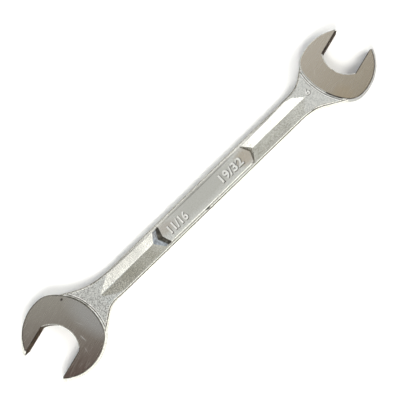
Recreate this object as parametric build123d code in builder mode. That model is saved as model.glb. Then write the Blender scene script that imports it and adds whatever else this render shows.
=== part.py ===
from build123d import *
import math
import os

# An open end wrench: one steel drop forging, with a jaw head at each end of a ridged shank.
# All sizes are in millimetres. X runs along the shank from the large head to the small one,
# Z is up from the surface that the wrench lies on, and the origin is on that surface, under
# the middle of the outline. Both sides of the forging are alike about its parting plane, so
# each piece is made as its upper half and mirrored.

# Jaws: each opening is the nut's width across its flats, and a clearance to slide on
large_nut = 17.46
small_nut = 15.08
jaw_clearance = 0.24

# Whole forging
jaw_distance = 153.7
mouth_angle = 15
draft_angle = 7
nose_end_angle = 20
tip_radius = 0.6
cut_overrun = 2.0

# Large head: the outline of its ground face, measured from the middle of the jaw.
# The mouth leans to one side of the shank: the lead jaw is on that side, the trail jaw opposite.
large_thickness = 7.6
large_offset = 1.2
large_back = 16.5
large_back_radius = 21.0
large_shoulder_radius = 8.0
large_lead_width = 16.9
large_lead_radius = 17.3
large_lead_setback = 1.6
large_lead_nose_swell = 1.65
large_trail_width = 16.4
large_trail_radius = 17.5
large_trail_setback = 2.6
large_trail_nose_swell = 3.35
large_throat_depth = 4.6
large_lead_corner = 2.4
large_trail_corner = 0.5

# Small head, in the same terms
small_thickness = 7.0
small_offset = 0.3
small_back = 12.65
small_back_radius = 25.0
small_shoulder_radius = 7.0
small_lead_width = 14.35
small_lead_radius = 18.3
small_lead_setback = 2.95
small_lead_nose_swell = 0.65
small_trail_width = 14.7
small_trail_radius = 16.25
small_trail_setback = 1.6
small_trail_nose_swell = 0.55
small_throat_depth = 3.4
small_lead_corner = 1.2
small_trail_corner = 0.4

# Shank: its width and edge height, and the roof-shaped ridge that runs along it
shank_width = 10.9
land_height = 1.5
edge_radius = 1.0
crest_height = 3.1
crest_radius = 0.4
facet_width = 4.45

# Necks: where each side of the shank turns out towards a head, measured back from the middle
# of the jaw, the radius of that turn, and where on the shoulder's round the flare ends
large_lead_neck = 23.9
large_lead_neck_radius = 10.0
large_lead_neck_angle = 96
large_trail_neck = 23.1
large_trail_neck_radius = 31.0
large_trail_neck_angle = 113
small_lead_neck = 19.1
small_lead_neck_radius = 11.3
small_lead_neck_angle = 104
small_trail_neck = 20.5
small_trail_neck_radius = 21.0
small_trail_neck_angle = 135

# Ramps: how the shank's edge climbs to the flat pad of each neck, where the ridge sinks into it.
# Each has a foot of its own radius and a straight part, and the pad's edge is rounded.
pad_height = 3.2
pad_radius = 6.0
large_ramp_top = 22.6
large_ramp_straight = 6.2
large_ramp_radius = 12.0
small_ramp_top = 18.5
small_ramp_straight = 0.5
small_ramp_radius = 22.0

# Panel: a recess cut through the ridge for the size numbers, with pointed ends. Each end is
# measured along the crest line, and its point is how far its middle leads its sides.
panel_depth = 0.35
panel_width = 7.8
panel_large_floor = 20.2
panel_large_point = 1.2
panel_large_wall_length = 2.2
panel_large_wall_height = 1.25
panel_shoulder_length = 2.5
panel_small_floor = 27.7
panel_small_point = 1.7
panel_small_wall_length = 1.9
panel_side_angle = 50

# Worked out from the sizes above
draft = math.tan(math.radians(draft_angle))
half_distance = jaw_distance / 2
half_width = shank_width / 2

# Each jaw: half width, radius, setback and nose swell
large_lead = (large_lead_width, large_lead_radius, large_lead_setback, large_lead_nose_swell)
large_trail = (large_trail_width, large_trail_radius, large_trail_setback, large_trail_nose_swell)
small_lead = (small_lead_width, small_lead_radius, small_lead_setback, small_lead_nose_swell)
small_trail = (small_trail_width, small_trail_radius, small_trail_setback, small_trail_nose_swell)

# Each head: thickness, back, back radius, shoulder radius and its two jaws
large_shape = (
    large_thickness,
    large_back,
    large_back_radius,
    large_shoulder_radius,
    large_lead,
    large_trail,
)
small_shape = (
    small_thickness,
    small_back,
    small_back_radius,
    small_shoulder_radius,
    small_lead,
    small_trail,
)

# Each mouth: opening, depth of the throat, overall reach and the two corner radii
large_mouth = (
    large_nut + jaw_clearance,
    large_throat_depth,
    large_lead_radius + cut_overrun,
    large_lead_corner,
    large_trail_corner,
)
small_mouth = (
    small_nut + jaw_clearance,
    small_throat_depth,
    small_lead_radius + cut_overrun,
    small_lead_corner,
    small_trail_corner,
)


def head_plane(base, side, shift):
    """A head's plane: its origin at the middle of the jaw, X out of the mouth, Y to the lead jaw.

    side is 1 for the small head and -1 for the large one, which is turned half round.
    """
    turn = math.radians(mouth_angle)
    origin = base.from_local_coords((side * half_distance, side * shift, 0))
    return Plane(origin, x_dir=(side * math.cos(turn), side * math.sin(turn), 0), z_dir=base.z_dir)


def shoulder_middle(shape, side, drop):
    """The middle of a shoulder's arc, which runs inside the back's round and the jaw's."""
    thickness, back, back_radius, shoulder_radius, lead, trail = shape
    width, radius, setback, _ = lead if side > 0 else trail
    grow = drop * draft * thickness / 2
    jaw_middle = Vector(-setback, side * (width - radius))
    across = Vector(back_radius - back, 0) - jaw_middle
    from_jaw = radius + grow - shoulder_radius
    from_back = back_radius + grow - shoulder_radius
    forward = (across.length**2 + from_jaw**2 - from_back**2) / (2 * across.length)
    sideways = side * math.sqrt(from_jaw**2 - forward**2)
    along = across.normalized()
    return jaw_middle + along * forward + Vector(-along.Y, along.X) * sideways


def head_outline(plane, shape, drop):
    """A head's outline, all arcs: nose, side and shoulder of each jaw, and the back.

    The drop is 0 at the ground face and 1 at the parting plane, where the draft makes the
    head its largest and the noses of the jaws are fuller.
    """
    thickness, back, back_radius, shoulder_radius, lead, trail = shape
    grow = drop * draft * thickness / 2
    back_middle = Vector(back_radius - back, 0)
    nose_ends = []
    back_angles = []
    arcs = []
    for side, (width, radius, setback, nose_swell) in ((1, lead), (-1, trail)):
        # Angles run from the mouth's direction round to the back, on the jaw's side
        jaw_middle = Vector(-setback, side * (width - radius))
        shoulder = shoulder_middle(shape, side, drop)
        nose_radius = radius + grow + drop * nose_swell
        nose_middle = Vector(-setback, side * (width + grow - nose_radius))
        from_jaw = shoulder - jaw_middle
        from_back = shoulder - back_middle
        jaw_angle = math.degrees(math.atan2(side * from_jaw.Y, from_jaw.X))
        back_angle = math.degrees(math.atan2(side * from_back.Y, from_back.X))
        nose = CenterArc(nose_middle, nose_radius, side * nose_end_angle, side * (90 - nose_end_angle))
        arcs.append(nose)
        arcs.append(CenterArc(jaw_middle, radius + grow, side * 90, side * (jaw_angle - 90)))
        arcs.append(CenterArc(shoulder, shoulder_radius, side * jaw_angle, side * (back_angle - jaw_angle)))
        nose_ends.append(nose @ 0)
        back_angles.append(back_angle)
    arcs.append(CenterArc(back_middle, back_radius + grow, back_angles[0], 360 - sum(back_angles)))
    arcs.append(Line(*nose_ends))
    return plane * Face(Wire(arcs))


def mouth_outline(plane, mouth):
    """The open mouth: two parallel flats, joined by a throat arc with rounded corners."""
    gap, depth, reach, lead_corner, trail_corner = mouth
    half_gap = gap / 2
    with BuildSketch(plane) as outline:
        with BuildLine():
            Polyline((0, half_gap), (reach, half_gap), (reach, -half_gap), (0, -half_gap))
            ThreePointArc((0, -half_gap), (-depth, 0), (0, half_gap))
        make_face()
        for corner, radius in (((0, half_gap), lead_corner), ((0, -half_gap), trail_corner)):
            fillet(outline.vertices().sort_by_distance(corner)[0], radius)
    return outline.sketch


def half_blank(plane, shape):
    """The upper half of a head before its mouth is cut, drafted from parting plane to face."""
    with BuildPart() as blank:
        add(head_outline(plane, shape, 1))
        add(head_outline(plane.offset(shape[0] / 2), shape, 0))
        loft(ruled=True)
    return blank.part


def jaw_end_edges(part, plane):
    """The two edges at the ends of the jaws, where their flats meet the outer sides."""
    return part.edges().sort_by(Axis(plane.origin, plane.x_dir))[-2:]


# The frame: the outline of both heads on the parting plane shows where the middle is
with BuildSketch() as plan:
    for side, shift, shape, mouth in (
        (-1, large_offset, large_shape, large_mouth),
        (1, small_offset, small_shape, small_mouth),
    ):
        add(head_outline(head_plane(Plane.XY, side, shift), shape, 1))
        add(mouth_outline(head_plane(Plane.XY, side, shift), mouth), mode=Mode.SUBTRACT)
middle = plan.sketch.bounding_box().center()

base = Plane((-middle.X, -middle.Y, large_thickness / 2))
side_plane = Plane(base.origin, x_dir=(1, 0, 0), z_dir=(0, -1, 0))
large_plane = head_plane(base, -1, large_offset)
small_plane = head_plane(base, 1, small_offset)

# Large head
with BuildPart() as large_head:
    add(half_blank(large_plane, large_shape))
    add(mouth_outline(large_plane, large_mouth))
    extrude(amount=large_thickness, mode=Mode.SUBTRACT)
    fillet(jaw_end_edges(large_head.part, large_plane), tip_radius)
    mirror(about=large_plane)

# Small head
with BuildPart() as small_head:
    add(half_blank(small_plane, small_shape))
    add(mouth_outline(small_plane, small_mouth))
    extrude(amount=small_thickness, mode=Mode.SUBTRACT)
    fillet(jaw_end_edges(small_head.part, small_plane), tip_radius)
    mirror(about=small_plane)


def flare_end(plane, shape, side, angle):
    """Where a neck's flare ends, on the round of a shoulder, in the base plane."""
    turn = math.radians(angle)
    outward = Vector(math.cos(turn), side * math.sin(turn))
    end = shoulder_middle(shape, side, 0) + outward * shape[3]
    return base.to_local_coords(plane.from_local_coords(end))


def shank_outline(rise):
    """The shank's plan at a height: straight along the middle, flaring into the heads by necks."""
    turns = (
        (Vector(large_lead_neck - half_distance, -half_width), large_lead_neck_radius),
        (Vector(half_distance - small_trail_neck, -half_width), small_trail_neck_radius),
        (Vector(half_distance - small_lead_neck, half_width), small_lead_neck_radius),
        (Vector(large_trail_neck - half_distance, half_width), large_trail_neck_radius),
    )
    with BuildSketch(base.offset(rise)) as outline:
        with BuildLine():
            Polyline(
                base.to_local_coords(large_plane.origin),
                flare_end(large_plane, large_shape, 1, large_lead_neck_angle),
                turns[0][0],
                turns[1][0],
                flare_end(small_plane, small_shape, -1, small_trail_neck_angle),
                base.to_local_coords(small_plane.origin),
                flare_end(small_plane, small_shape, 1, small_lead_neck_angle),
                turns[2][0],
                turns[3][0],
                flare_end(large_plane, large_shape, -1, large_trail_neck_angle),
                close=True,
            )
        make_face()
        for corner, radius in turns:
            fillet(outline.vertices().sort_by_distance(corner)[0], radius)
        if rise > 0:
            offset(amount=-rise * draft, kind=Kind.INTERSECTION)
    return outline.sketch


def ramp_run(straight, foot_radius):
    """How far a ramp reaches along the shank, from its straight part and the arcs at its ends."""
    rise = pad_height - land_height
    arcs = pad_radius + foot_radius
    half_slope = (math.sqrt(straight**2 + rise * (2 * arcs - rise)) - straight) / (2 * arcs - rise)
    return rise * (1 - half_slope**2) / (2 * half_slope)


def shank_side():
    """The shank from the side: low along its length, climbing a ramp to a flat pad at each neck."""
    large_foot = large_pad + ramp_run(large_ramp_straight, large_ramp_radius)
    small_foot = small_pad - ramp_run(small_ramp_straight, small_ramp_radius)
    turns = (
        (Vector(large_pad, pad_height), pad_radius),
        (Vector(large_foot, land_height), large_ramp_radius),
        (Vector(small_foot, land_height), small_ramp_radius),
        (Vector(small_pad, pad_height), pad_radius),
    )
    end = half_distance + cut_overrun
    with BuildSketch(side_plane.offset(-large_lead_width)) as outline:
        with BuildLine():
            Polyline(
                (-end, -cut_overrun),
                (-end, pad_height),
                *(corner for corner, _ in turns),
                (end, pad_height),
                (end, -cut_overrun),
                close=True,
            )
        make_face()
        for corner, radius in turns:
            fillet(outline.vertices().sort_by_distance(corner)[0], radius)
    return outline.sketch


def ridge_section():
    """The ridge's roof-shaped section, standing on the land, with its crest rounded."""
    across = Plane(base.origin, x_dir=(0, 1, 0), z_dir=(1, 0, 0))
    with BuildSketch(across.offset(large_pad - cut_overrun)) as section:
        with BuildLine():
            Polyline(
                (-facet_width, 0),
                (-facet_width, land_height),
                (0, crest_height),
                (facet_width, land_height),
                (facet_width, 0),
                close=True,
            )
        make_face()
        fillet(section.vertices().sort_by(Axis.Y)[-1], crest_radius)
    return section.sketch


def panel_outline(rise):
    """The panel's outline at a height above its floor: six-sided, pointed at both ends."""
    half_panel = panel_width / 2
    side = half_panel + rise * math.tan(math.radians(panel_side_angle))
    large_end = panel_large_floor + rise * panel_large_wall_length / panel_large_wall_height
    small_end = panel_small_floor + rise * panel_small_wall_length / (crest_height - panel_floor)
    large_side = large_end - panel_large_point * side / half_panel
    small_side = small_end - panel_small_point * side / half_panel
    with BuildSketch(base.offset(panel_floor + rise)) as outline:
        Polygon(
            (-large_end, 0),
            (-large_side, -side),
            (small_side, -side),
            (small_end, 0),
            (small_side, side),
            (-large_side, side),
            align=None,
        )
    return outline.sketch


def long_top_edges(part, heads):
    """The edges between the top of the shank and its sides, outside both heads."""
    top_faces = part.faces().filter_by(lambda face: face.normal_at().Z > 0.5)
    found = []
    for edge in part.edges():
        sharing = [face for face in top_faces if edge in face.edges()]
        if len(sharing) == 1 and not any(head.is_inside(edge.center()) for head in heads):
            found.append(edge)
    return found


# Shank
large_pad = large_ramp_top - half_distance
small_pad = half_distance - small_ramp_top
panel_floor = land_height - panel_depth
head_blanks = (half_blank(large_plane, large_shape), half_blank(small_plane, small_shape))

with BuildPart() as shank:
    # The drafted sides, cut to the side view, with the long top edges rounded
    add(shank_outline(0))
    add(shank_outline(pad_height + cut_overrun))
    loft(ruled=True)
    extrude(shank_side(), amount=2 * large_lead_width, mode=Mode.INTERSECT)
    fillet(long_top_edges(shank.part, head_blanks), edge_radius)

    # The ridge, sinking into the pad at each end
    extrude(ridge_section(), amount=small_pad - large_pad + 2 * cut_overrun)

    # The panel, and the slope that leads down to its large end
    add(panel_outline(0))
    add(panel_outline(crest_height + cut_overrun - panel_floor))
    loft(ruled=True, mode=Mode.SUBTRACT)
    wall_top = panel_floor + panel_large_wall_height
    slope_start = -panel_large_floor - panel_large_wall_length - panel_shoulder_length
    slope_run = panel_shoulder_length * (crest_height - land_height) / (crest_height - wall_top)
    slope_end = slope_start + slope_run
    with BuildSketch(side_plane):
        Polygon(
            (slope_start, crest_height),
            (slope_end, land_height),
            (slope_end, crest_height),
            align=None,
        )
    extrude(amount=half_width, both=True, mode=Mode.SUBTRACT)

    # The heads end the shank
    for blank in head_blanks:
        add(blank, mode=Mode.SUBTRACT)
    mirror(about=base)

os.makedirs("parts", exist_ok=True)
for name, piece in (("large_head", large_head), ("shank", shank), ("small_head", small_head)):
    piece.part.label = name
    export_step(piece.part, f"parts/{name}.step")
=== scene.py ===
from math import atan2, cos, radians, sin, sqrt

import bmesh
import bpy
from mathutils import Matrix, Vector


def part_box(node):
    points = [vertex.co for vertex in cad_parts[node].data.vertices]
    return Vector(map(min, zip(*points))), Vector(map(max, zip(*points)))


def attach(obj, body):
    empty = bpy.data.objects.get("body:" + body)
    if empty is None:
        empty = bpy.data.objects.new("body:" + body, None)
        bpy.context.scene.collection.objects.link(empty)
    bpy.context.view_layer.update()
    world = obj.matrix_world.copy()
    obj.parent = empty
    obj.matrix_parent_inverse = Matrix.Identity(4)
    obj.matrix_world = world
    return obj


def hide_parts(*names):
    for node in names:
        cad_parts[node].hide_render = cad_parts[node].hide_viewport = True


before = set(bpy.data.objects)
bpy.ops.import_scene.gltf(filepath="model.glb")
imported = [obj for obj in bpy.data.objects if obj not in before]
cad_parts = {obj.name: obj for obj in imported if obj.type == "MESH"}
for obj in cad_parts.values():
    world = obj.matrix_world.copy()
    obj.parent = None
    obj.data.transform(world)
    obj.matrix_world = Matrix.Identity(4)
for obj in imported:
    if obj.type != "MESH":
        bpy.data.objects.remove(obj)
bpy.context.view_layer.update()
print("frame loaded:", sorted(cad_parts))

mm = 0.001      # everything below is written in millimetres and placed in metres
jawTurn = 15    # degrees: each jaw's axis is turned by this from the wrench's length


# helpers for node materials
def newMaterial(name):
    material = bpy.data.materials.new(name)
    material.use_nodes = True
    tree = material.node_tree
    tree.nodes.clear()
    output = tree.nodes.new("ShaderNodeOutputMaterial")
    shader = tree.nodes.new("ShaderNodeBsdfPrincipled")
    tree.links.new(shader.outputs["BSDF"], output.inputs["Surface"])
    return material, tree, shader


def link(tree, fromSocket, toSocket):
    tree.links.new(fromSocket, toSocket)


# stretched first along its own axes, then turned in degrees
def objectSpace(tree, stretch=(1, 1, 1), turn=0.0):
    coords = tree.nodes.new("ShaderNodeTexCoord")
    mapping = tree.nodes.new("ShaderNodeMapping")
    mapping.vector_type = "TEXTURE"
    mapping.inputs["Scale"].default_value = stretch
    mapping.inputs["Rotation"].default_value = (0, 0, radians(turn))
    link(tree, coords.outputs["Object"], mapping.inputs["Vector"])
    return mapping.outputs["Vector"]


def noise(tree, vector, look):
    node = tree.nodes.new("ShaderNodeTexNoise")
    node.inputs["Scale"].default_value = look["scale"]
    node.inputs["Detail"].default_value = look["detail"]
    node.inputs["Roughness"].default_value = look["fineness"]
    link(tree, vector, node.inputs["Vector"])
    return node.outputs["Fac"]


# dark below the first value of a pattern, light above the second, and blended between them
def ramp(tree, pattern, values, dark, light):
    node = tree.nodes.new("ShaderNodeValToRGB")
    for stop, place, colour in zip(node.color_ramp.elements, values, (dark, light)):
        stop.position = place
        stop.color = (*colour, 1)
    link(tree, pattern, node.inputs["Fac"])
    return node.outputs["Color"]


# a noise lies mostly between 0.3 and 0.7, so that is what is spread unless told otherwise
def spread(tree, value, low, high, fromLow=0.3, fromHigh=0.7):
    node = tree.nodes.new("ShaderNodeMapRange")
    node.inputs["From Min"].default_value = fromLow
    node.inputs["From Max"].default_value = fromHigh
    node.inputs["To Min"].default_value = low
    node.inputs["To Max"].default_value = high
    link(tree, value, node.inputs["Value"])
    return node.outputs["Result"]


# its strength is a number or another node's output, and it may lie on another bump
def bump(tree, height, strength, depth, under=None):
    node = tree.nodes.new("ShaderNodeBump")
    node.inputs["Distance"].default_value = depth * mm
    link(tree, height, node.inputs["Height"])
    if isinstance(strength, float):
        node.inputs["Strength"].default_value = strength
    else:
        link(tree, strength, node.inputs["Strength"])
    if under is not None:
        link(tree, under, node.inputs["Normal"])
    return node.outputs["Normal"]


# 0 at the first place and 1 at the second, seen from above
def fade(tree, fromPlace, toPlace):
    coords = tree.nodes.new("ShaderNodeTexCoord")
    along = Vector(toPlace) - Vector(fromPlace)
    dot = tree.nodes.new("ShaderNodeVectorMath")
    dot.operation = "DOT_PRODUCT"
    dot.inputs[1].default_value = (along.x, along.y, 0)
    link(tree, coords.outputs["Object"], dot.inputs[0])
    start = along.dot(Vector(fromPlace)) * mm
    return spread(tree, dot.outputs["Value"], 0, 1, start, start + along.length_squared * mm)


# each colour is three numbers or another node's output
def mixed(tree, share, first, second):
    node = tree.nodes.new("ShaderNodeMix")
    node.data_type = "RGBA"
    link(tree, share, node.inputs["Factor"])
    for value, socket in ((first, node.inputs[6]), (second, node.inputs[7])):   # its two colours
        if isinstance(value, tuple):
            socket.default_value = (*value, 1)
        else:
            link(tree, value, socket)
    return node.outputs[2]      # the mixed colour


# how far out from the middle of a spot: 0 there, and 1 at its half sizes, turned in degrees
def spotDistance(tree, place, halfSizes, turn):
    coords = tree.nodes.new("ShaderNodeTexCoord")
    mapping = tree.nodes.new("ShaderNodeMapping")
    mapping.vector_type = "TEXTURE"
    mapping.inputs["Location"].default_value = Vector(place) * mm
    mapping.inputs["Rotation"].default_value = (0, 0, radians(turn))
    mapping.inputs["Scale"].default_value = Vector(halfSizes) * mm
    link(tree, coords.outputs["Object"], mapping.inputs["Vector"])
    far = tree.nodes.new("ShaderNodeVectorMath")
    far.operation = "LENGTH"
    link(tree, mapping.outputs["Vector"], far.inputs[0])
    return far.outputs["Value"]


# a mark is its middle, its half sizes, its turn, its colour and how much of that shows
markCore = 0.45     # it is even out to here, and fades from here to its edge


def marked(tree, colour, marks):
    for place, halfSizes, turn, tint, share in marks:
        far = spotDistance(tree, place, halfSizes, turn)
        colour = mixed(tree, spread(tree, far, share, 0, markCore, 1), colour, tint)
    return colour


# the ground faces of the heads
largeGround = {
    "light": (0.40, 0.375, 0.315),
    "dark": (0.115, 0.068, 0.052),
    "fadeFrom": (-64, 12),      # the fade runs from here, light, to there, dark
    "fadeTo": (-84, -12),
    "brushed": (0.58, 0.545, 0.475),
    "brushShare": 0.30,
    "marks": [
        ((-59.5, -4.0, 7.6), (8.5, 17, 4), 12, (0.50, 0.495, 0.47), 0.65),  # lighter by the neck
        ((-65.1, 10.5, 7.6), (0.75, 0.6, 1), 0, (0.06, 0.05, 0.045), 0.9),  # the pit
        ((-69.3, -6.5, 7.6), (0.28, 2.1, 1), 4, (0.72, 0.70, 0.66), 0.6),   # scratches
        ((-71.6, -10.6, 7.6), (0.2, 1.5, 1), -12, (0.62, 0.57, 0.52), 0.6),
        ((-66.4, -1.4, 7.6), (0.16, 2.6, 1), 24, (0.62, 0.60, 0.56), 0.45),
    ],
}
smallGround = {
    "light": (0.625, 0.56, 0.455),
    "dark": (0.42, 0.355, 0.255),
    "fadeFrom": (76, 13),
    "fadeTo": (75, -15),
    "brushed": (0.74, 0.69, 0.60),
    "brushShare": 0.22,
    "marks": [
        ((70.1, -8.9, 7.3), (5, 5, 4), 0, (0.52, 0.42, 0.28), 0.45),
        ((68.5, 5.5, 7.3), (0.2, 2.4, 1), -35, (0.76, 0.70, 0.60), 0.45),
    ],
}
brushLines = {
    "stretch": (11, 1, 1),
    "turn": jawTurn,
    "scale": 2090,              # this and the other noise scales are per metre
    "detail": 4.0,
    "fineness": 0.7,
    "roughLow": 0.20,
    "roughHigh": 0.30,
    "bump": 0.25,
    "depth": 0.02,
}


def groundSteel(name, look):
    material, tree, shader = newMaterial(name)
    lines = noise(tree, objectSpace(tree, brushLines["stretch"], brushLines["turn"]), brushLines)
    colour = mixed(tree, fade(tree, look["fadeFrom"], look["fadeTo"]), look["light"], look["dark"])
    colour = mixed(tree, spread(tree, lines, 0, look["brushShare"]), colour, look["brushed"])
    roughness = spread(tree, lines, brushLines["roughLow"], brushLines["roughHigh"])
    link(tree, marked(tree, colour, look["marks"]), shader.inputs["Base Color"])
    link(tree, roughness, shader.inputs["Roughness"])
    link(tree, bump(tree, lines, brushLines["bump"], brushLines["depth"]), shader.inputs["Normal"])
    shader.inputs["Metallic"].default_value = 1.0
    return material


# the forged skin, which turns coarse and sooty towards the large head
forgedSkin = {
    "light": (0.93, 0.925, 0.855),
    "dark": (0.76, 0.76, 0.70),
    "soot": (0.45, 0.445, 0.41),        # lies in the coarse grain
    "coarseFrom": (-20, 0),
    "coarseTo": (-56, 0),
    "roughLow": 0.17,
    "roughHigh": 0.30,
    "marks": [
        ((3.5, 1.9, 4.95), (27, 5.4, 0.45), 0, (0.66, 0.65, 0.58), 0.8),    # the panel's duller floor
        ((3.5, 5.05, 5.0), (36, 0.6, 0.9), 0, (0.25, 0.25, 0.225), 0.9),    # painted shade along the land of the upper edge, here and in the next two
        ((40, 5.35, 5.1), (16, 0.6, 0.9), 1.5, (0.27, 0.27, 0.245), 0.85),
        ((-33, 5.35, 5.1), (16, 0.5, 0.9), -2, (0.32, 0.32, 0.29), 0.7),
        ((-36, 3.2, 6.0), (15, 3.4, 2.5), 0, (0.66, 0.65, 0.60), 0.6),      # the large facet, darker
        ((-16.6, 2.6, 4.95), (5.5, 3.2, 0.5), 0, (0.58, 0.51, 0.42), 0.5),  # the panel's brown ends
        ((25.6, 0.9, 4.95), (5.0, 4.5, 0.5), 0, (0.58, 0.49, 0.36), 0.65),
        ((1.3, -3.65, 5.2), (1.1, 0.5, 1), 0, (0.03, 0.03, 0.03), 0.9),     # the nick
        ((63.5, 3.4, 7.0), (0.5, 2.6, 1), 4, (0.22, 0.21, 0.19), 0.7),      # darker in the small step
        ((-69.5, -13.5, 3.8), (13, 5.5, 1.0), 36, (0.42, 0.42, 0.42), 0.8),     # painted shade low on the large head's wall
    ],
}
fineGrain = {"scale": 1800, "detail": 2.0, "fineness": 0.5, "values": (0.35, 0.6), "bump": 0.4, "depth": 0.05}
clouds = {"scale": 120, "detail": 3.0, "fineness": 0.5}
coarseGrain = {
    "scale": 1900,
    "detail": 3.0,
    "fineness": 0.5,
    "sootShare": 0.9,
    "sootFrom": 0.58,           # the grain is clean above this value and sooty below the next
    "sootTo": 0.36,
    "bumpFar": 0.05,            # away from the large head
    "bumpNear": 0.55,
    "depth": 0.06,
}


def forgedSteel(name, look):
    material, tree, shader = newMaterial(name)
    fine = noise(tree, objectSpace(tree), fineGrain)
    cloudy = noise(tree, objectSpace(tree), clouds)
    coarse = noise(tree, objectSpace(tree), coarseGrain)
    nearHead = fade(tree, look["coarseFrom"], look["coarseTo"])
    clean = ramp(tree, fine, fineGrain["values"], look["dark"], look["light"])
    soot = spread(tree, coarse, 0, coarseGrain["sootShare"], coarseGrain["sootFrom"], coarseGrain["sootTo"])
    colour = mixed(tree, nearHead, clean, mixed(tree, soot, clean, look["soot"]))
    link(tree, marked(tree, colour, look["marks"]), shader.inputs["Base Color"])
    link(tree, spread(tree, cloudy, look["roughLow"], look["roughHigh"]), shader.inputs["Roughness"])
    strength = spread(tree, nearHead, coarseGrain["bumpFar"], coarseGrain["bumpNear"], 0, 1)
    fineBump = bump(tree, fine, fineGrain["bump"], fineGrain["depth"])
    coarseBump = bump(tree, coarse, strength, coarseGrain["depth"], fineBump)
    link(tree, coarseBump, shader.inputs["Normal"])
    shader.inputs["Metallic"].default_value = 1.0
    return material


# the finishes that paint shade and highlights, and a grey band, and the colour that each turns to at a
# grazing angle
shadeAndHighlightLooks = {
    # painted shade: the dark slopes and rims, the climbs of the steps, the dark chevron's floor and the
    # numbers' sides
    "edge": {
        "light": (0.21, 0.195, 0.165), "dark": (0.08, 0.073, 0.062), "grazing": (0.40, 0.38, 0.34),
        "roughLow": 0.28, "roughHigh": 0.42, "metal": 1.0,
    },
    "number": {                 # rubbed bright on the numbers' tops, and painted as a highlight there and on the steps' ledges
        "light": (0.97, 0.965, 0.92), "dark": (0.80, 0.79, 0.74), "grazing": (1, 1, 1),
        "roughLow": 0.30, "roughHigh": 0.44, "metal": 0.72,
    },
    "mouth": {                  # the broached walls inside the jaws, painted dark as shade
        "light": (0.25, 0.218, 0.19), "dark": (0.14, 0.12, 0.102), "grazing": (0.18, 0.163, 0.147),
        "roughLow": 0.30, "roughHigh": 0.42, "metal": 1.0,
    },
    "rim": {                    # the heads' rims on their shaded side, painted dark as shade
        "light": (0.15, 0.13, 0.11), "dark": (0.06, 0.052, 0.045), "grazing": (0.12, 0.11, 0.10),
        "roughLow": 0.30, "roughHigh": 0.42, "metal": 1.0,
    },
    "greyBand": {                  # the grey band on the shoulder by the panel's large end
        "light": (0.56, 0.555, 0.55), "dark": (0.31, 0.312, 0.315), "grazing": (1, 1, 1),
        "roughLow": 0.18, "roughHigh": 0.30, "metal": 1.0,
    },
    "wall": {                   # the small head's outer wall: the forged skin painted grey as shade
        "light": (0.66, 0.66, 0.65), "dark": (0.56, 0.56, 0.55), "grazing": (0.60, 0.60, 0.59),
        "roughLow": 0.24, "roughHigh": 0.36, "metal": 1.0,
    },
}
stains = {"scale": 700, "detail": 3.0, "fineness": 0.5, "values": (0.38, 0.62), "bump": 0.2, "depth": 0.02}


def shadeAndHighlightSteel(name, look):
    material, tree, shader = newMaterial(name)
    stain = noise(tree, objectSpace(tree), stains)
    colour = ramp(tree, stain, stains["values"], look["dark"], look["light"])
    link(tree, colour, shader.inputs["Base Color"])
    link(tree, spread(tree, stain, look["roughHigh"], look["roughLow"]), shader.inputs["Roughness"])
    link(tree, bump(tree, stain, stains["bump"], stains["depth"]), shader.inputs["Normal"])
    shader.inputs["Metallic"].default_value = look["metal"]
    shader.inputs["Specular Tint"].default_value = (*look["grazing"], 1)
    return material


finishes = {
    "largeGround": groundSteel("largeGroundSteel", largeGround),
    "smallGround": groundSteel("smallGroundSteel", smallGround),
    "forged": forgedSteel("forgedSteel", forgedSkin),
}
for name, look in shadeAndHighlightLooks.items():
    finishes[name] = shadeAndHighlightSteel(name + "Steel", look)
print("finishes made")


# the three forged pieces: the finishes on each, and how its edges are eased
pieceFinishes = {
    "large_head": ("largeGround", "forged", "edge", "mouth", "rim"),
    "small_head": ("smallGround", "forged", "edge", "mouth", "rim", "wall"),
    "shank": ("forged", "edge", "greyBand", "number"),
}
headEdges = {
    "mergeWithin": 0.002,
    "flatWithin": 0.8,          # degrees
    "sharpFrom": 30,
    "sharpTo": 140,
    "ease": 0.34,
    "steps": 4,
    "easedWithin": 0.05,        # of the ground faces: the corners that climb the noses stay crisp
    "crispBetween": (0, 0),     # none is left out by its place along the wrench
    "keepClear": False,
}
shankEdges = {
    "mergeWithin": 0.002,
    "flatWithin": 0.8,
    "sharpFrom": 24,
    "sharpTo": 110,             # above this they are knife edges, where the shank runs out against a head
    "ease": 0.18,
    "steps": 2,
    "easedWithin": 4.0,         # more than half the thickness, so at every height
    "crispBetween": (33, 56),   # where the ridge sinks into the ramps, easing would fold the mesh
    "keepClear": True,          # narrows the easing to a hair, which keeps the shading of the flats apart
}


def sharpEdges(mesh, look):
    low, high = radians(look["sharpFrom"]), radians(look["sharpTo"])
    crispFrom, crispTo = look["crispBetween"]
    floor = min(vert.co.z for vert in mesh.verts)
    roof = max(vert.co.z for vert in mesh.verts)
    found = []
    for edge in mesh.edges:
        reach = max(abs(vert.co.x) for vert in edge.verts) / mm
        inside = max(min(vert.co.z - floor, roof - vert.co.z) for vert in edge.verts) / mm
        crisp = inside > look["easedWithin"] or crispFrom <= reach < crispTo
        if edge.is_manifold and low < edge.calc_face_angle() < high and not crisp:
            found.append(edge)
    return found


def easeEdges(mesh, look):
    bmesh.ops.bevel(
        mesh, geom=sharpEdges(mesh, look), offset=look["ease"] * mm, offset_type="OFFSET",
        affect="EDGES", segments=look["steps"], profile=0.5, material=-1, clamp_overlap=look["keepClear"],
    )


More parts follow.
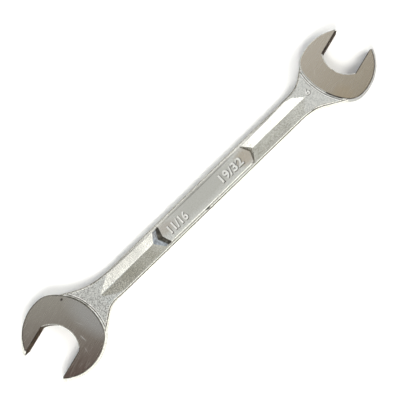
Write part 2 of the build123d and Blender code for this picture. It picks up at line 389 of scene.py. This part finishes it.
# each head's jaw: its place, the way its mouth opens, and the finishes round its face
jaws = {
    "large_head": {
        "middle": (-75.991, -0.277),
        "out": (-cos(radians(jawTurn)), -sin(radians(jawTurn))),
        "mouthHalf": 9.25,              # a little over half the opening
        "mouthFrom": -4.8,              # the mouth's faces lie farther out from the middle than this
        "ground": "largeGround",
        "darkSide": (-0.87, 0.5),       # the side on which its rim is painted dark as shade
        "otherRim": "edge",
        "outerWall": "forged",
    },
    "small_head": {
        "middle": (77.709, 1.223),
        "out": (cos(radians(jawTurn)), sin(radians(jawTurn))),
        "mouthHalf": 8.05,
        "mouthFrom": -3.6,
        "ground": "smallGround",
        "darkSide": (0.3, -0.95),
        "otherRim": "forged",
        # its outer wall is painted grey as shade
        "outerWall": "wall",
    },
}
headFaces = {
    "level": 0.99,              # how level a face lies, 0 upright and 1 flat: the ground face is above this
    "upright": 0.1,             # a wall is below this
    "eased": 0.34,              # a rim is above this, where it isn't in the mouth or on a nose
    "inward": 0.5,              # a mouth's face looks to its middle line, or away by less than this
    "straight": 0.8,            # how far a rim in the mouth faces across it, along its straight walls
    "nose": 0.55,               # how far a face looks out along the jaws, at their noses
}


# painted shade on a mouth's walls and along the rims of its straight walls; round its throat the rims keep
# the bright forged skin
def mouthFinish(facing, lying):
    if lying < headFaces["upright"]:
        return "mouth"
    return "rim" if abs(facing) > headFaces["straight"] * sqrt(1 - lying * lying) else "forged"


def groundOrForged(nodeName):
    jaw = jaws[nodeName]
    middle, out, darkSide = jaw["middle"], jaw["out"], jaw["darkSide"]

    def pick(face):
        place = face.calc_center_median() / mm
        forward = (place.x - middle[0]) * out[0] + (place.y - middle[1]) * out[1]
        sideways = (place.y - middle[1]) * out[0] - (place.x - middle[0]) * out[1]
        facing = face.normal.y * out[0] - face.normal.x * out[1]
        inMouth = abs(sideways) < jaw["mouthHalf"] and forward > jaw["mouthFrom"]
        lying = abs(face.normal.z)
        if lying > headFaces["level"]:
            return jaw["ground"]
        if inMouth and facing * sideways < headFaces["inward"]:
            return mouthFinish(facing, lying)
        if face.normal.x * out[0] + face.normal.y * out[1] > headFaces["nose"] and forward > 0:
            return jaw["outerWall"]
        if lying > headFaces["eased"]:
            # a rim facing the shaded side is painted dark as shade
            towardDark = face.normal.x * darkSide[0] + face.normal.y * darkSide[1]
            return "rim" if towardDark > 0 else jaw["otherRim"]
        return jaw["outerWall"]

    return pick


# the shank's faces painted dark as shade: the slopes along its edges, and the panel's wall at its large end
darkFaces = {
    "lyingFrom": 0.16,          # how level the slopes lie
    "lyingTo": 0.66,
    "sideways": 0.5,            # how far they face across the shank
    "wallFromX": -40,
    "wallToX": 0,
    "endwise": 0.35,            # how far the panel's wall faces along the shank
}


def forgedOrEdge(face):
    look = darkFaces
    slopes = look["lyingFrom"] < abs(face.normal.z) < look["lyingTo"]
    alongEdge = slopes and abs(face.normal.y) > look["sideways"]
    place = face.calc_center_median() / mm
    panelWall = look["wallFromX"] < place.x < look["wallToX"] and abs(face.normal.x) > look["endwise"]
    return "edge" if alongEdge or panelWall else "forged"


# a corner of a cutting tool on the top, or mirrored about the parting plane to the underside
partingHeight = 3.8


def toolCorner(mesh, place, under):
    x, y, z = place
    return mesh.verts.new(Vector((x, y, 2 * partingHeight - z if under else z)) * mm)


# the ring of four-cornered faces that joins two rows of corners
def wallsBetween(mesh, first, second):
    made = []
    for here in range(len(first)):
        there = (here + 1) % len(first)
        made.append(mesh.faces.new((first[here], first[there], second[there], second[here])))
    return made


def shankFinish(name):
    return pieceFinishes["shank"].index(name)


# the shallow slope that is laid along the lower edge of the panel's floor
panelSlope = {
    "fromX": -19.4,
    "toX": 26.0,
    "floorY": -2.25,
    "edgeY": -3.25,
    "floorHeight": 4.95,
    "rise": 0.36,
    "sunk": 0.10,
    "dip": 0.01,                # how far its thin side starts below the floor
}


def slopeSolid(look, under):
    bottom = look["floorHeight"] - look["sunk"]
    section = (
        (look["floorY"], look["floorHeight"] - look["dip"]),
        (look["edgeY"], look["floorHeight"] + look["rise"]),
        (look["edgeY"], bottom),
        (look["floorY"], bottom),
    )
    mesh = bmesh.new()
    ends = [[toolCorner(mesh, (x, y, z), under) for y, z in section] for x in (look["fromX"], look["toX"])]
    mesh.faces.new(ends[0])
    mesh.faces.new(ends[1])
    wallsBetween(mesh, *ends)
    bmesh.ops.recalc_face_normals(mesh, faces=mesh.faces)
    return mesh


# the two chevrons at the panel's large end: a dark one at its wall's foot, its floor painted as shade, and a
# grey one outside it
darkChevron = {
    "inner": ((-17.95, -3.15, 4.90), (-19.45, 0.95, 4.90), (-18.35, 4.95, 4.90)),
    "outer": ((-19.75, -3.15, 5.20), (-21.55, 0.95, 6.16), (-19.60, 4.95, 5.20)),
    "top": 7.55,
    "finish": "edge",
}
greyBandChevron = {
    "inner": ((-19.70, -3.10, 5.19), (-21.50, 0.95, 6.15), (-19.55, 4.90, 5.19)),
    "outer": ((-21.00, -3.00, 5.33), (-24.00, 0.95, 6.79), (-21.40, 4.75, 5.33)),
    "top": 7.55,
    "finish": "greyBand",
}
chevronTriangles = ((0, 1, 4), (0, 4, 5), (1, 2, 3), (1, 3, 4))     # they fill its six-cornered outline


def chevronCutter(look, under):
    mesh = bmesh.new()
    outline = (*look["inner"], *reversed(look["outer"]))
    floor = [toolCorner(mesh, place, under) for place in outline]
    roof = [toolCorner(mesh, (x, y, look["top"]), under) for x, y, _ in outline]
    for corners in chevronTriangles:
        mesh.faces.new([floor[corner] for corner in corners]).material_index = shankFinish(look["finish"])
        mesh.faces.new([roof[corner] for corner in corners])
    wallsBetween(mesh, floor, roof)
    bmesh.ops.recalc_face_normals(mesh, faces=mesh.faces)
    return mesh


# the worn step behind each head, cut into the necks
stepGroove = {
    "profile": (                # out from the head, and height: two worn ledges with a line between
        (-0.3, 7.4), (-0.3, 7.03), (0.44, 6.80), (0.78, 6.98), (1.20, 6.86), (1.34, 7.04), (1.34, 7.4),
    ),
    "finishes": (               # of each side in turn: ledges painted bright as highlights, climbs painted dark as shade
        "forged", "number", "edge", "number", "edge", "forged", "forged",
    ),
    "draft": 0.07,
    "faceWithin": 0.01,         # the head's outline is read from its corners this near its top,
    "behind": -3.5,             # at least this far behind the jaw's middle,
    "outlineFrom": 11.5,        # and farther than this from it, past the mouth
}


# the outline of a head's face on the shank's side, in order round it
def backOutline(nodeName, look):
    middle, out = jaws[nodeName]["middle"], jaws[nodeName]["out"]
    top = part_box(nodeName)[1][2] / mm
    found = {}
    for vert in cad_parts[nodeName].data.vertices:
        place = vert.co / mm
        across = Vector((place.x - middle[0], place.y - middle[1]))
        forward = across.dot(Vector(out))
        if top - place.z < look["faceWithin"] and forward < look["behind"]:
            if across.length > look["outlineFrom"]:
                sideways = across.y * out[0] - across.x * out[1]
                found[round(atan2(sideways, -forward), 3)] = Vector((place.x, place.y))
    return [found[angle] for angle in sorted(found)]


def grooveCutter(nodeName, look, under):
    points = backOutline(nodeName, look)
    middle = Vector(jaws[nodeName]["middle"])
    mesh = bmesh.new()
    rows = []
    for here, point in enumerate(points):
        along = points[min(here + 1, len(points) - 1)] - points[max(here - 1, 0)]
        outward = Vector((along.y, -along.x)).normalized()
        if outward.dot(point - middle) < 0:
            outward.negate()
        row = []
        for out, height in look["profile"]:
            place = point + outward * (out + look["draft"])
            row.append(toolCorner(mesh, (place.x, place.y, height), under))
        rows.append(row)
    mesh.faces.new(rows[0])
    mesh.faces.new(rows[-1])
    for first, second in zip(rows, rows[1:]):
        for face, finish in zip(wallsBetween(mesh, first, second), look["finishes"]):
            face.material_index = shankFinish(finish)
    bmesh.ops.recalc_face_normals(mesh, faces=mesh.faces)
    return mesh


# knocks that the wrench has taken: the middle and half sizes of each
dents = {
    "large_head": [((-65.1, 10.5, 7.98), (0.66, 0.55, 0.6))],       # the pit
    "shank": [((1.3, -3.65, 5.3), (0.95, 0.42, 0.4))],              # the nick in the shank's edge
}


def ballCutter(middle, halfSizes):
    ball = bmesh.new()
    bmesh.ops.create_icosphere(ball, subdivisions=3, radius=mm)
    bmesh.ops.scale(ball, verts=ball.verts, vec=halfSizes)
    bmesh.ops.translate(ball, verts=ball.verts, vec=Vector(middle) * mm)
    return ball


# a tool is its mesh and whether it is joined or cut away
def toolsFor(nodeName):
    tools = [(ballCutter(*dent), "DIFFERENCE") for dent in dents.get(nodeName, [])]
    if nodeName == "shank":
        for under in (False, True):
            tools.append((slopeSolid(panelSlope, under), "UNION"))
            tools.append((chevronCutter(greyBandChevron, under), "DIFFERENCE"))
            tools.append((chevronCutter(darkChevron, under), "DIFFERENCE"))
            tools += [(grooveCutter(head, stepGroove, under), "DIFFERENCE") for head in jaws]
    return tools


# joins or cuts away each tool in turn
def worked(data, tools):
    holder = bpy.data.objects.new("unworked", data)
    bpy.context.scene.collection.objects.link(holder)
    toolObjects = []
    for toolMesh, operation in tools:
        toolData = bpy.data.meshes.new("tool")
        toolMesh.to_mesh(toolData)
        toolMesh.free()
        tool = bpy.data.objects.new("tool", toolData)
        bpy.context.scene.collection.objects.link(tool)
        work = holder.modifiers.new("work", "BOOLEAN")
        work.operation = operation
        work.solver = "EXACT"
        work.object = tool
        toolObjects.append(tool)
    made = bpy.data.meshes.new_from_object(holder.evaluated_get(bpy.context.evaluated_depsgraph_get()))
    for thing in (holder, *toolObjects):
        used = thing.data
        bpy.data.objects.remove(thing)
        bpy.data.meshes.remove(used)
    return made


# edges that don't join exactly two faces: 0 on a closed piece
def openEdges(data):
    mesh = bmesh.new()
    mesh.from_mesh(data)
    count = sum(not edge.is_manifold for edge in mesh.edges)
    mesh.free()
    return count


def easedMesh(nodeName, pieceName, look, pick):
    mesh = bmesh.new()
    mesh.from_mesh(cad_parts[nodeName].data)
    bmesh.ops.remove_doubles(mesh, verts=mesh.verts, dist=look["mergeWithin"] * mm)
    flat = radians(look["flatWithin"])
    bmesh.ops.dissolve_limit(mesh, angle_limit=flat, verts=mesh.verts, edges=mesh.edges)
    easeEdges(mesh, look)
    low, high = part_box(nodeName)
    for vert in mesh.verts:     # easing a pointed nose may carry its corner a hair past the box
        vert.co = [min(max(vert.co[axis], low[axis]), high[axis]) for axis in range(3)]
    mesh.normal_update()
    for face in mesh.faces:
        face.smooth = True
        face.material_index = pieceFinishes[nodeName].index(pick(face))
    data = bpy.data.meshes.new(pieceName)
    mesh.to_mesh(data)
    mesh.free()
    for finish in pieceFinishes[nodeName]:
        data.materials.append(finishes[finish])
    return data


def forging(nodeName, pieceName, look, pick):
    data = easedMesh(nodeName, pieceName, look, pick)
    openBefore = openEdges(data)
    tools = toolsFor(nodeName)
    if tools:
        data = worked(data, tools)
        data.name = pieceName
    data.set_sharp_from_angle(angle=radians(look["sharpFrom"]))
    piece = bpy.data.objects.new(pieceName, data)
    bpy.context.scene.collection.objects.link(piece)
    evenNormals = piece.modifiers.new("evenNormals", "WEIGHTED_NORMAL")
    evenNormals.keep_sharp = True
    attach(piece, "root")
    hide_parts(nodeName)
    print(pieceName, "faces", len(data.polygons), "open edges", openBefore, openEdges(data))
    return piece


largeHead = forging("large_head", "largeHead", headEdges, groundOrForged("large_head"))
smallHead = forging("small_head", "smallHead", headEdges, groundOrForged("small_head"))
shank = forging("shank", "shankForging", shankEdges, forgedOrEdge)
print("forging pieces in place")


# the raised size numbers on the panel's floor, and the digit on the small neck
raised = {
    "floorHeight": 4.95,
    "rise": 0.45,
    "sunk": 0.05,
    "tall": 4.1,
    "bold": 0.010,              # this and the next four are in the font's own units and steps
    "round": 0.050,
    "roundSteps": 3,
    "extrude": 0.004,
    "curveSteps": 6,
    "shaded": (0.77, -0.64),    # the sides that face this way by so much are painted dark as shade
    "shadedFrom": 0.06,
    "topFrom": 0.3,             # and so are faces that lie less level than this
}
numbers = {
    "largeSizeNumber": {**raised, "words": "11/16", "middle": (-11.05, 0.75), "wide": 9.7},
    "smallSizeNumber": {**raised, "words": "19/32", "middle": (18.3, 0.9), "wide": 11.8},
    "neckNumber": {
        **raised, "words": "6", "middle": (60.9, 1.8), "wide": 2.3, "tall": 2.9,
        "floorHeight": 7.0, "rise": 0.30, "shadedFrom": 0.015,
    },
}


def letterCurve(name, look):
    curve = bpy.data.curves.new(name, "FONT")
    curve.body = look["words"]
    curve.extrude = look["extrude"]
    curve.bevel_resolution = look["roundSteps"]
    curve.offset = look["bold"]
    curve.bevel_depth = look["round"]
    curve.resolution_u = look["curveSteps"]
    return curve


def raisedNumber(name, look):
    curve = letterCurve(name, look)
    writing = bpy.data.objects.new(name + "Text", curve)
    bpy.context.scene.collection.objects.link(writing)
    data = bpy.data.meshes.new_from_object(writing.evaluated_get(bpy.context.evaluated_depsgraph_get()))
    bpy.data.objects.remove(writing)
    bpy.data.curves.remove(curve)
    low = Vector([min(vert.co[axis] for vert in data.vertices) for axis in range(3)])
    high = Vector([max(vert.co[axis] for vert in data.vertices) for axis in range(3)])
    span = high - low
    thick = look["rise"] + look["sunk"]
    for vert in data.vertices:
        share = [(vert.co[axis] - low[axis]) / span[axis] for axis in range(3)]
        vert.co = Vector((
            look["middle"][0] + (share[0] - 0.5) * look["wide"],
            look["middle"][1] + (share[1] - 0.5) * look["tall"],
            look["floorHeight"] - look["sunk"] + share[2] * thick,
        )) * mm
    data.name = name
    data.materials.append(finishes["number"])
    data.materials.append(finishes["edge"])
    for face in data.polygons:
        towardShade = face.normal.x * look["shaded"][0] + face.normal.y * look["shaded"][1]
        dark = towardShade > look["shadedFrom"] or face.normal.z < look["topFrom"]
        face.material_index = 1 if dark else 0
    number = bpy.data.objects.new(name, data)
    bpy.context.scene.collection.objects.link(number)
    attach(number, "root")


for name, look in numbers.items():
    raisedNumber(name, look)
print("size numbers raised")


# the camera, where the photograph was taken from
cameraView = {
    "distance": 800,        # from the wrench, mm
    "tilt": 8.2,            # leaning towards the lower right of the picture
    "sideways": -0.3,
    "roll": 44.13,          # the wrench's slope in the picture
    "centre": (1.2, 1.1, 3.8),
    "scale": 2.538,         # picture points to a millimetre at the centre
    "picture": 400,
    "sensor": 36,
    "nearest": 10,
    "farthest": 20000,
}


def aimCamera(look):
    tilt = radians(look["tilt"])
    sideways = radians(look["sideways"])
    toCamera = Vector((sin(sideways), -sin(tilt), 0))
    toCamera.z = sqrt(1 - toCamera.length_squared)
    along = Vector((1, 0, 0)) - toCamera * toCamera.x
    along.normalize()
    across = along.cross(-toCamera)
    roll = radians(look["roll"])
    right = along * cos(roll) - across * sin(roll)
    up = along * sin(roll) + across * cos(roll)
    place = (Vector(look["centre"]) + toCamera * look["distance"]) * mm
    camera = bpy.data.objects.new("camera", bpy.data.cameras.new("camera"))
    bpy.context.scene.collection.objects.link(camera)
    turn = Matrix((right, up, toCamera)).transposed()
    camera.matrix_world = Matrix.Translation(place) @ turn.to_4x4()
    camera.data.sensor_width = look["sensor"]
    camera.data.lens = look["scale"] * look["distance"] * look["sensor"] / look["picture"]
    camera.data.clip_start = look["nearest"] * mm
    camera.data.clip_end = look["farthest"] * mm
    bpy.context.scene.camera = camera


aimCamera(cameraView)


# a stage object from its mesh and its material
def finishedObject(name, mesh, material):
    data = bpy.data.meshes.new(name)
    mesh.to_mesh(data)
    mesh.free()
    thing = bpy.data.objects.new(name, data)
    bpy.context.scene.collection.objects.link(thing)
    data.materials.append(material)
    return thing


# the white paper that the wrench lies on
paper = {
    "size": 3000,
    "gap": 0.02,            # keeps it clear of the faces that rest on it
    "colour": (0.93, 0.93, 0.92),
    "roughness": 0.9,
    "lift": 0.10,           # lifts it to white for the camera and for reflections
}


def larger(tree, first, second):
    node = tree.nodes.new("ShaderNodeMath")
    node.operation = "MAXIMUM"
    link(tree, first, node.inputs[0])
    link(tree, second, node.inputs[1])
    return node.outputs[0]


def makeFloor(look):
    mesh = bmesh.new()
    bmesh.ops.create_grid(mesh, x_segments=1, y_segments=1, size=look["size"] / 2 * mm)
    bmesh.ops.translate(mesh, verts=mesh.verts, vec=(0, 0, -look["gap"] * mm))
    material, tree, shader = newMaterial("paperFloor")
    shader.inputs["Base Color"].default_value = (*look["colour"], 1)
    shader.inputs["Roughness"].default_value = look["roughness"]
    shader.inputs["Emission Color"].default_value = (1, 1, 1, 1)
    rays = tree.nodes.new("ShaderNodeLightPath")
    seen = larger(tree, rays.outputs["Is Camera Ray"], rays.outputs["Is Glossy Ray"])
    seen = larger(tree, seen, rays.outputs["Is Transmission Ray"])
    link(tree, spread(tree, seen, 0, look["lift"], 0, 1), shader.inputs["Emission Strength"])
    finishedObject("floor", mesh, material)


makeFloor(paper)


# the lamps stay out of reflections: what the metal shows is the cards, the flag, the sky and the floor
lamps = {
    "keyLamp": {
        "place": (-320, -290, 560), "aim": (-110, 0, 0), "size": (400, 300), "spread": 42,
        "power": 0.37, "colour": (1, 0.98, 0.93),
    },
    "sideLamp": {
        "place": (400, -270, 520), "aim": (110, 0, 0), "size": (340, 300), "spread": 46,
        "power": 0.26, "colour": (1, 0.98, 0.92),
    },
    "fillLamp": {
        "place": (-420, 780, 440), "aim": (0, 0, 0), "size": (400, 300), "spread": 180,
        "power": 0.8, "colour": (0.82, 0.91, 1),
    },
}


def aimed(place, aim):
    return (Vector(aim) - Vector(place)).to_track_quat("-Z", "Y").to_matrix().to_4x4()


def areaLamp(name, look):
    lamp = bpy.data.lights.new(name, "AREA")
    lamp.shape = "RECTANGLE"
    lamp.size, lamp.size_y = look["size"][0] * mm, look["size"][1] * mm
    lamp.energy = look["power"]
    lamp.color = look["colour"]
    lamp.spread = radians(look["spread"])
    holder = bpy.data.objects.new(name, lamp)
    bpy.context.scene.collection.objects.link(holder)
    holder.matrix_world = Matrix.Translation(Vector(look["place"]) * mm) @ aimed(look["place"], look["aim"])
    holder.visible_glossy = False


# the cards that the metal reflects, and the dark flag that stands round them
cards = {
    "brightCard": {"place": (165, 714, 666), "size": (350, 310), "colour": (1, 1, 1), "glow": 2.2},
    "paleCard": {"place": (-185, 714, 666), "size": (350, 310), "colour": (1, 0.99, 0.96), "glow": 1.15},
    "darkCard": {"place": (-150, -350, 725), "size": (560, 350), "colour": (0.37, 0.36, 0.32), "glow": 1.0},
    "edgeCard": {"place": (0, -549, 330), "size": (820, 390), "colour": (1, 1, 1), "glow": 1.6},
    "blueCard": {"place": (412, 0, 686), "size": (500, 196), "colour": (0.80, 0.91, 1), "glow": 1.1},
    "endCard": {"place": (580, 0, 391), "size": (760, 340), "colour": (0.56, 0.53, 0.46), "glow": 1.0},
    "farCard": {"place": (-650, 0, 125), "size": (700, 236), "colour": (0.24, 0.23, 0.20), "glow": 1.0},
}
flag = {
    "radius": 700,
    "bottom": 20,
    "top": 560,
    "sides": 64,
    "colour": (0.17, 0.16, 0.145),
    "glow": 1.0,
}


def showOnlyInGloss(card):
    card.visible_camera = False
    card.visible_diffuse = False
    card.visible_shadow = False
    card.visible_transmission = False


def glowing(name, look):
    material, tree, shader = newMaterial(name)
    shader.inputs["Base Color"].default_value = (0, 0, 0, 1)
    shader.inputs["Roughness"].default_value = 1.0
    shader.inputs["Specular IOR Level"].default_value = 0.0
    shader.inputs["Emission Color"].default_value = (*look["colour"], 1)
    shader.inputs["Emission Strength"].default_value = look["glow"]
    return material


def reflectionCard(name, look):
    mesh = bmesh.new()
    bmesh.ops.create_grid(mesh, x_segments=1, y_segments=1, size=0.5)
    bmesh.ops.scale(mesh, verts=mesh.verts, vec=(look["size"][0] * mm, look["size"][1] * mm, 1))
    standing = Matrix.Translation(Vector(look["place"]) * mm) @ aimed(look["place"], (0, 0, 0))
    bmesh.ops.transform(mesh, verts=mesh.verts, matrix=standing)
    showOnlyInGloss(finishedObject(name, mesh, glowing(name, look)))


def flagRing(name, look):
    mesh = bmesh.new()
    depth = look["top"] - look["bottom"]
    radius = look["radius"] * mm
    bmesh.ops.create_cone(
        mesh, segments=look["sides"], radius1=radius, radius2=radius, depth=depth * mm, cap_ends=False,
    )
    bmesh.ops.translate(mesh, verts=mesh.verts, vec=(0, 0, (look["bottom"] + depth / 2) * mm))
    showOnlyInGloss(finishedObject(name, mesh, glowing(name, look)))


for name, look in lamps.items():
    areaLamp(name, look)
for name, look in cards.items():
    reflectionCard(name, look)
flagRing("darkFlag", flag)


# the sky's strength in reflections, and on what scatters light
sky = {
    "colour": (0.97, 0.98, 1.0),
    "inGloss": 0.68,
    "onFloor": 0.48,
}


def makeSky(look):
    world = bpy.data.worlds.new("studio")
    bpy.context.scene.world = world
    world.use_nodes = True
    tree = world.node_tree
    background = tree.nodes["Background"]
    background.inputs["Color"].default_value = (*look["colour"], 1)
    rays = tree.nodes.new("ShaderNodeLightPath")
    strength = spread(tree, rays.outputs["Is Diffuse Ray"], look["inGloss"], look["onFloor"], 0, 1)
    link(tree, strength, background.inputs["Strength"])


makeSky(sky)
bpy.context.scene.view_settings.view_transform = "Standard"
print("studio set")
